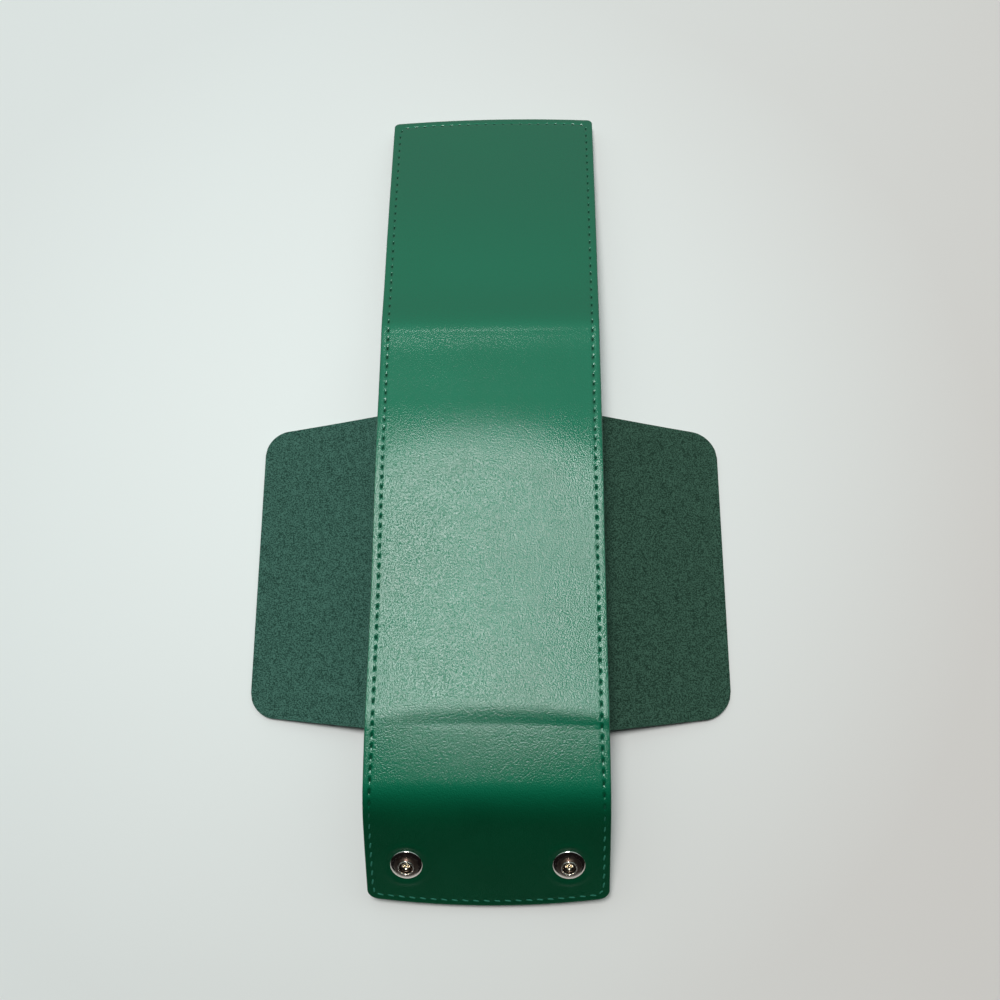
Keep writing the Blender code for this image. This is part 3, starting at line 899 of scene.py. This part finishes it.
def addStitches():
    # Each stitch is a tube on an arch between two holes: its middle stands at the
    # leather's face, its ends dive by the fourth power, and its radius closes to
    # a point at each end.
    t = np.linspace(-1, 1, seam["rings"])
    turn = np.linspace(0, 2 * math.pi, seam["sides"], endpoint=False)
    round5 = np.sqrt(np.clip(1 - np.abs(t) ** 5, 0, 1))
    wide, thick = seam["threadWidth"] / 2 * round5, seam["threadHeight"] / 2 * round5
    firstX, lastX = holeX[:-1], holeX[1:]
    firstS, lastS = holeS[:-1], holeS[1:]
    midX, midS = (firstX + lastX) / 2, (firstS + lastS) / 2
    alongX, alongS = (lastX - firstX) / 2, (lastS - firstS) / 2
    length = np.hypot(alongX, alongS)
    slant = math.tan(math.radians(seam["slantDeg"]))
    cover = seam["coverShare"] + (seam["flapCoverShare"] - seam["coverShare"]) * onFlap(midS)
    alongX, alongS = (alongX - alongS * slant) * cover, (alongS + alongX * slant) * cover
    acrossX, acrossS = -alongS / length / cover, alongX / length / cover
    for k, (name, key) in enumerate(zip(stitches["names"], "ABCD")):
        mine = np.where((midS >= cuts[k]) & (midS < cuts[k + 1]))[0]
        ax = midX[mine, None, None] + alongX[mine, None, None] * t[None, :, None]
        a = midS[mine, None, None] + alongS[mine, None, None] * t[None, :, None]
        side = wide[None, :, None] * np.cos(turn)[None, None, :]
        x = ax + acrossX[mine, None, None] * side
        s = a + acrossS[mine, None, None] * side
        face = panelTop(ax, a) - seam["grooveDepth"] - seam["sunk"] * hollow(a)
        face = face - seam["dive"] * t[None, :, None] ** 4
        points = stripPoint(x, s, face + thick[None, :, None] * np.sin(turn)[None, None, :])
        count, rings, sides = points.shape[:3]
        index = np.arange(count * rings * sides).reshape(count, rings, sides)
        loop = np.concatenate([index, index[:, :, :1]], axis=2)
        corners = [loop[:, :-1, :-1], loop[:, 1:, :-1], loop[:, 1:, 1:], loop[:, :-1, 1:]]
        faces = np.stack(corners, axis=-1).reshape(-1, 4)
        thing = makePiece(name, points, faces, threadMaterial, 60)
        # the proud share also carries the thread's painted highlight
        markPoints(thing, "proud", (1 - hollow(s)).ravel())
        weld(thing)
        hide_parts(*stitches["replaces"][k])
        blendOver(thing)
    print("stitches made")


sheets = {
    "flat": {"gusset": (0.0120, 0.1060), "wing": (0.0475, 0.1055)},
    "area": {"gusset": 0.00095, "wing": 0.00480},
    # u runs over the sheet from 0 under the back panel to 1 at the wing's edge
    "split": 0.17,
    "foldFrom": 0.20,
    "foldTo": 0.28,
    "foldTurn": 0.46 * math.pi,
    "thickness": 0.0010,
    "hangsAt": 0.0350,  # x of the middle of the hanging part
    "foldRadius": 0.0024,
    "foldHeight": 0.0052,  # of the wing where it leaves the fold
    "topGap": 0.0003,  # between the lining's face and the upper edge
    "wingPower": 1.3,
    "tableGap": 0.00005,
    "edgesFrom": 0.0385,  # x from which the edges slope
    "left": {
        "outer": 0.0789,
        "top": 0.0203,
        "topSlope": 0.125,
        "bottom": -0.0864,
        "bottomSlope": 0.105,
        "corner": 0.0078,
    },
    "right": {
        "outer": 0.0789,
        "top": 0.0196,
        "topSlope": 0.160,
        "bottom": -0.0872,
        "bottomSlope": 0.110,
        "corner": 0.0084,
    },
    "cornerShare": 0.999,  # a corner stops just short of its quarter circle
    "rows": 150,
    "step": 0.008,
    # x and z where each blend starts and where it ends
    "blends": {
        "gusset": ((0.0350, 0.0200), (0.0350, 0.0165)),
        "wing": ((0.0352, 0.0078), (0.0390, 0.0045)),
    },
}


def liningHeight(y):
    order = np.argsort(path["y"])
    return np.interp(y, path["y"][order], path["z"][order])


def sheetLine(u, y, edges):
    # The sheet's middle line at one y: straight down, round the fold, then out and
    # down to the table along a curve that flattens.
    foldFrom, foldTo, fullTurn = sheets["foldFrom"], sheets["foldTo"], sheets["foldTurn"]
    radius = sheets["foldRadius"]
    topZ = liningHeight(y) - sheets["topGap"]
    foldTop = sheets["foldHeight"] + radius
    down = np.clip(u / foldFrom, 0, 1)
    turn = np.clip((u - foldFrom) / (foldTo - foldFrom), 0, 1) * fullTurn
    x = sheets["hangsAt"] + radius * (1 - np.cos(turn))
    z = topZ + (foldTop - topZ) * down - radius * np.sin(turn)
    wing = np.clip((u - foldTo) / (1 - foldTo), 0, 1)
    startX = sheets["hangsAt"] + radius * (1 - math.cos(fullTurn))
    startZ = foldTop - radius * math.sin(fullTurn)
    lowZ = sheets["thickness"] / 2 + sheets["tableGap"]
    x = np.where(u > foldTo, startX + (edges["outer"] - startX) * wing, x)
    z = np.where(u > foldTo, lowZ + (startZ - lowZ) * (1 - wing) ** sheets["wingPower"], z)
    return x, z


def sheetMiddle(low, high, side, edges):
    # the middle surface between two values of u, with sloped edges and rounded corners
    u, v = np.meshgrid(spaced(low, high, sheets["step"]), np.linspace(0, 1, sheets["rows"]))
    x, _ = sheetLine(u, 0 * u, edges)
    out = np.clip(x - sheets["edgesFrom"], 0, None)
    topY = edges["top"] - edges["topSlope"] * out
    bottomY = edges["bottom"] + edges["bottomSlope"] * out
    corner = edges["corner"]
    over = np.clip((x - (edges["outer"] - corner)) / corner, 0, 1)
    pull = corner * (1 - np.sqrt(1 - over**2 * sheets["cornerShare"]))
    y = (bottomY + pull) + (topY - bottomY - 2 * pull) * v
    x, z = sheetLine(u, y, edges)
    return np.stack([side * x, y, z], axis=-1)


def addSideSheets():
    for side, name in ((-1, "left"), (1, "right")):
        for piece, low, high in (("gusset", 0.0, sheets["split"]), ("wing", sheets["split"], 1.0)):
            middle = sheetMiddle(low, high, side, sheets[name])
            normal = np.cross(np.gradient(middle, axis=1), np.gradient(middle, axis=0))
            normal *= sheets["thickness"] / 2 / np.linalg.norm(normal, axis=-1, keepdims=True)
            top, bottom = middle + normal, middle - normal
            rims = [roundGrid(middle)]
            pieceName = name + "_" + piece + "_sheet"
            thing = closedShell(pieceName, top, rims, bottom, suedeMaterial[name], flip=side > 0)
            weld(thing, 1e-8)
            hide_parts(name + "_" + piece)
            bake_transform(thing)
    print("side sheets made")


def smoothLine(points, each=6):
    # a Catmull-Rom curve through the points: each stretch is a cubic that takes
    # its end directions from the points on either side
    p = np.array(points, float)
    p = np.concatenate([[2 * p[0] - p[1]], p, [2 * p[-1] - p[-2]]])
    t = np.linspace(0, 1, each, endpoint=False)[None, :, None]
    a, b, c, d = (p[i : len(p) - 3 + i, None, :] for i in range(4))
    line = 2 * b + (c - a) * t + (2 * a - 5 * b + 4 * c - d) * t**2 + (3 * b - a - 3 * c + d) * t**3
    line = line / 2
    return np.concatenate([line.reshape(-1, 2), p[-2:-1]])


def turnedPiece(name, profile, centre, axis, material, closed=False, steps=96, sharpDeg=40):
    # a profile of radius and height carried once round its axis
    radius, height = profile[:, 0], profile[:, 1]
    turn = np.linspace(0, 2 * math.pi, steps, endpoint=False)
    sideways = np.array([1.0, 0, 0])
    forward = np.cross(axis, sideways)
    outward = np.cos(turn)[None, :, None] * sideways + np.sin(turn)[None, :, None] * forward
    points = centre + radius[:, None, None] * outward + height[:, None, None] * axis
    index = np.arange(points.shape[0] * steps).reshape(-1, steps)
    index = np.concatenate([index, index[:, :1]], axis=1)
    if closed:
        index = np.concatenate([index, index[:1]], axis=0)
    thing = makePiece(name, points, gridFaces(index), material, sharpDeg)
    weld(thing)
    thing.data.set_sharp_from_angle(angle=math.radians(sharpDeg))
    return thing


mm = 0.001
# radius and height in millimetres
studProfile = [
    (1.30, 0.10), (1.90, 0.10), (3.00, 0.04), (4.60, 0.02), (4.90, 0.02), (5.01, 0.08),
    (4.98, 0.20), (4.88, 0.31), (4.68, 0.42), (4.40, 0.52), (4.00, 0.62), (3.60, 0.70),
    (3.20, 0.76), (2.80, 0.80), (2.50, 0.81), (2.34, 0.82), (2.30, 0.92), (2.29, 1.20),
    (2.38, 1.45), (2.46, 1.65), (2.44, 1.80), (2.34, 1.87), (2.22, 1.84), (2.14, 1.70),
    (2.06, 1.35), (2.00, 0.95), (1.80, 0.66), (1.30, 0.60),
]
postProfile = [
    (0.0, -3.78), (3.8, -3.78), (4.3, -3.70), (4.48, -3.50), (4.30, -3.33), (3.6, -3.30),
    (1.25, -3.30), (1.18, -3.1), (1.18, 0.62), (1.30, 0.72), (1.55, 0.86), (1.70, 1.00),
    (1.72, 1.14), (1.60, 1.26), (1.35, 1.28), (1.08, 1.14), (0.80, 0.94), (0.62, 0.66),
    (0.52, 0.30), (0.34, 0.12), (0.0, 0.06),
]
socketProfile = [
    (1.55, -0.04), (4.6, -0.04), (4.88, -0.10), (5.0, -0.32), (5.0, -1.7), (4.92, -1.95),
    (4.7, -2.05), (3.2, -2.05), (2.9, -2.0), (2.77, -1.85), (2.76, -1.62), (2.9, -1.58),
    (3.8, -1.56), (3.85, -1.5), (3.85, -0.75), (3.8, -0.72), (1.65, -0.72), (1.55, -0.66),
]
socketFace = 1.30 * mm  # from the CAD solid's middle to the profile's zero


recess = {"outer": 4.6 * mm, "outerFade": 1.3 * mm, "top": 1.75 * mm, "topFade": 0.35 * mm}


def markRecess(thing, base, axis):
    # 1 on the flange near the knob and on the knob's neck, falling to 0 at the
    # flange's rim and the knob's lip
    points = np.empty(len(thing.data.vertices) * 3)
    thing.data.vertices.foreach_get("co", points)
    points = points.reshape(-1, 3) - base
    height = points @ axis
    radius = np.linalg.norm(points - height[:, None] * axis, axis=1)
    inward = smooth((recess["outer"] - radius) / recess["outerFade"])
    below = smooth((recess["top"] - height) / recess["topFade"])
    # the recess share also carries the metal's painted reflection and shade
    markPoints(thing, "recess", inward * below)


def addStuds():
    axis = stripNormal(studS)
    for side, name in ((-1, "left"), (1, "right")):
        x, s = np.full((1, 1), side * stud["across"]), np.full((1, 1), studS)
        base = stripPoint(x, s, leatherTop(x, s) - stud["sunk"])[0, 0]
        profile = smoothLine(studProfile) * mm
        body = turnedPiece(name + "_stud_turned", profile, base, axis, nickelMaterial, closed=True)
        markRecess(body, base, axis)
        profile = smoothLine(postProfile, 4) * mm
        post = turnedPiece(name + "_stud_post_turned", profile, base, axis, brassMaterial)
        for thing, node, slot in ((body, "_stud", "nickel"), (post, "_stud_post", "brass")):
            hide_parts(name + node)
            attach(thing, "front_flap")
    print("studs made")


def addSockets():
    # each stands square to the lid where its CAD solid stands
    slope = math.radians(strip["lidSlopeDeg"])
    axis = np.array([0, math.sin(slope), math.cos(slope)])
    profile = np.array(socketProfile) * mm
    for name in ("left", "right"):
        low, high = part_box(name + "_socket")
        base = np.array((low + high) / 2) + axis * socketFace
        pieceName = name + "_socket_turned"
        thing = turnedPiece(pieceName, profile, base, axis, nickelMaterial, closed=True)
        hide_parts(name + "_socket")
        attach(thing, "lid")
    print("sockets made")


def finishCadNodes():
    for side in ("left", "right"):
        for node, material in (("_socket_spring", springMaterial), ("_socket_cap", brassMaterial)):
            thing = frame["nodes"][side + node]
            thing.data.materials.clear()
            thing.data.materials.append(material)


addLeather()
addLining()
addBoards()
addStitches()
addSideSheets()
addStuds()
addSockets()
finishCadNodes()


studio = {
    # the table's colour is painted: lighter in a pool of painted light round the pouch, and darker
    # towards the right and the near side as painted falloff of light; the blotches are random tone
    "floor": colour(0.780, 0.785, 0.770),
    "floorPaintedPool": colour(0.890, 0.910, 0.890),
    "floorPaintedFalloff": colour(0.710, 0.650, 0.622),
    "paintedPoolCentre": (-0.025, 0.008, 0.0),
    "fadeRight": 0.85,
    "fadeNear": 0.32,
    "fadeSpan": (-0.10, 0.20),
    "blotchesPerMetre": 9,
    "blotchShare": 0.05,
    "brightShare": 0.85,
    "brightSpan": (0.05, 0.20),
    "floorSize": 6.0,
    "floorMelts": (0.30, 0.90),
    "backdrop": colour(0.80, 0.80, 0.80),
    "lamps": {
        # name: direction that it comes from, distance, width and height, watts
        "key": ((-0.090, 0.170, 0.99), 1.50, (0.45, 0.56), 14.4),
    },
    "skyFar": colour(0.603, 0.752, 0.740),
    "skyNear": colour(0.008, 0.006, 0.006),
    "skySpan": (-0.15, 0.35),
}


def addFloor():
    size = studio["floorSize"]
    u, v = np.meshgrid(np.linspace(-size, size, 3), np.linspace(-size, size, 3))
    points = np.stack([u, v, 0 * u], axis=-1)
    n = Nodes("paleTable")
    # painted falloff of light: the table's colour darkens towards the right and the near side
    across = n.add("ShaderNodeSeparateXYZ", Vector=n.place)
    toRight = n.math("MULTIPLY", across.outputs["X"], studio["fadeRight"])
    toNear = n.math("MULTIPLY", across.outputs["Y"], studio["fadeNear"])
    blotches = n.noise(studio["blotchesPerMetre"], 4, 0.6)
    blotches = n.math("MULTIPLY", blotches, studio["blotchShare"])
    fade = n.math("ADD", n.math("SUBTRACT", toRight, toNear), blotches)
    tone = n.mix(n.span(fade, 0, 1, *studio["fadeSpan"]), studio["floor"], studio["floorPaintedFalloff"])
    # a painted pool of light round the pouch
    apart = n.add("ShaderNodeVectorMath", {"operation": "DISTANCE"}, Vector=n.place)
    apart.inputs[1].default_value = studio["paintedPoolCentre"]
    bright = n.span(apart.outputs["Value"], studio["brightShare"], 0, *studio["brightSpan"])
    tone = n.mix(bright, tone, studio["floorPaintedPool"])
    # far from the pouch the table melts into the backdrop
    rays = n.add("ShaderNodeLightPath").outputs["Is Camera Ray"]
    melt = n.math("MULTIPLY", n.span(apart.outputs["Value"], 0, 1, *studio["floorMelts"]), rays)
    material = n.finish(
        Base_Color=n.mix(melt, tone, colour(0, 0, 0)),
        Roughness=0.6,
        Specular_IOR_Level=0.2,
        Emission_Color=studio["backdrop"],
        Emission_Strength=melt,
    )
    floor = makePiece("table_top", points, gridFaces(np.arange(9).reshape(3, 3)), material)


def addLight():
    for name, (way, distance, size, watts) in studio["lamps"].items():
        direction = Vector(way).normalized()
        data = bpy.data.lights.new(name, "AREA")
        data.shape = "RECTANGLE"
        data.size, data.size_y = size
        data.energy = watts
        lamp = bpy.data.objects.new(name, data)
        lamp.location = direction * distance
        lamp.rotation_euler = direction.to_track_quat("Z", "Y").to_euler()
        bpy.context.scene.collection.objects.link(lamp)

    world = bpy.data.worlds.new("studio")
    world.use_nodes = True
    tree = world.node_tree
    background = tree.nodes["Background"]
    coords = tree.nodes.new("ShaderNodeTexCoord")
    split = tree.nodes.new("ShaderNodeSeparateXYZ")
    ramp = tree.nodes.new("ShaderNodeMapRange")
    ramp.inputs["From Min"].default_value, ramp.inputs["From Max"].default_value = studio["skySpan"]
    blend = tree.nodes.new("ShaderNodeMix")
    blend.data_type = "RGBA"
    blend.inputs[6].default_value = studio["skyNear"]
    blend.inputs[7].default_value = studio["skyFar"]
    rays = tree.nodes.new("ShaderNodeLightPath")
    shown = tree.nodes.new("ShaderNodeMix")
    shown.data_type = "RGBA"
    shown.inputs[7].default_value = studio["backdrop"]
    tree.links.new(coords.outputs["Generated"], split.inputs[0])
    tree.links.new(split.outputs["Y"], ramp.inputs["Value"])
    tree.links.new(ramp.outputs[0], blend.inputs["Factor"])
    tree.links.new(rays.outputs["Is Camera Ray"], shown.inputs["Factor"])
    tree.links.new(blend.outputs[2], shown.inputs[6])
    tree.links.new(shown.outputs[2], background.inputs["Color"])
    bpy.context.scene.world = world


addFloor()
addLight()
bpy.context.scene.view_settings.view_transform = "Standard"
print("floor and light made")
